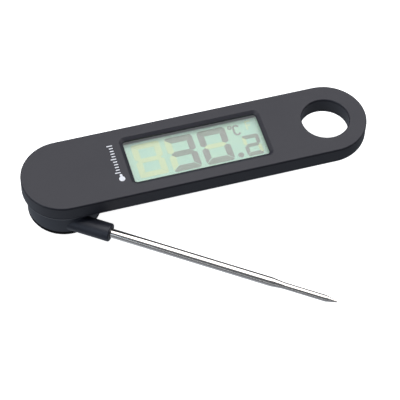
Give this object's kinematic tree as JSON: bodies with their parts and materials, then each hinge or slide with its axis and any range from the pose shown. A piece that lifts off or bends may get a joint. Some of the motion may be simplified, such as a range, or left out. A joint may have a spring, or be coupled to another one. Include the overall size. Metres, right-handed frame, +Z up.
{
  "type": "folding probe thermometer",
  "caption": "Folding digital meat thermometer: flat round-ended handle with a display and a hanging hole, and a steel probe that swings out from a hub beneath.",
  "frame": {"origin": "on the hinge axis, at the flat base of the probe's hub", "axes": "+Z up along the hinge axis, towards the display; +X from the hinge to the hanging hole"},
  "size_m": [0.153, 0.1, 0.022],
  "materials": {
    "soft_touch_black": "soft-touch rubberised satin, very fine grain",
    "hub_black": "moulded satin with a fine spark texture",
    "clear_lens": "clear polished acrylic",
    "lcd_mint": "reflective liquid crystal display, pale mint with satin polariser",
    "white_plastic": "plain moulded",
    "black_rubber": "smooth silicone",
    "board_green": "solder-masked glass fibre board",
    "chip_epoxy": "cast epoxy drop",
    "bead_glass": "clear green glass",
    "nickel_strip": "nickel plate",
    "stainless_plain": "bright rolled",
    "stainless_polished": "polished lengthwise",
    "wire_red": "PVC insulation",
    "wire_black": "PVC insulation",
    "wire_enamel": "enamelled wire"
  },
  "bodies": {
    "handle": {"front_shell": "soft_touch_black", "back_shell": "soft_touch_black", "display_lens": "clear_lens", "lcd_glass": "lcd_mint", "lcd_holder": "white_plastic", "lcd_connector_strip": "black_rubber", "circuit_board": "board_green", "chip_cover": "chip_epoxy", "reed_switch": "bead_glass", "snap_dome": "nickel_strip", "button_cell": "nickel_strip", "battery_contact_positive": "nickel_strip", "battery_contact_negative": "nickel_strip", "spring_washer": "stainless_plain", "hinge_retainer": "stainless_plain", "handle_lead_red": "wire_red", "handle_lead_black": "wire_black", "case_screw_1": "stainless_plain", "case_screw_2": "stainless_plain", "case_screw_3": "stainless_plain", "case_screw_4": "stainless_plain", "hinge_screw_1": "stainless_plain", "hinge_screw_2": "stainless_plain"},
    "probe": {"probe_hub": "hub_black", "hub_base_cap": "hub_black", "switch_magnet": "nickel_strip", "probe_tube": "stainless_polished", "thermistor": "bead_glass", "sensor_lead_1": "wire_enamel", "sensor_lead_2": "wire_enamel"},
    "unit_button": {"unit_button": "black_rubber"},
    "battery_cover": {"battery_cover": "soft_touch_black", "battery_cover_seal": "black_rubber"}
  },
  "joints": [
    {"name": "probe_fold", "type": "hinge", "parent": "handle", "child": "probe", "pos_m": [0, 0, 0.006], "axis": [0, 0, -1], "range_deg": [-35.7, 144.3]},
    {"name": "unit_button_press", "type": "slide", "parent": "handle", "child": "unit_button", "axis": [0, 0, 1], "range_m": [0, 0.0003], "stiffness_N_per_m": 2000, "springref_m": -0.0005},
    {"name": "battery_cover_turn", "type": "hinge", "parent": "handle", "child": "battery_cover", "pos_m": [0.0966, 0, 0.013], "axis": [0, 0, -1], "range_deg": [0, 40]}
  ]
}
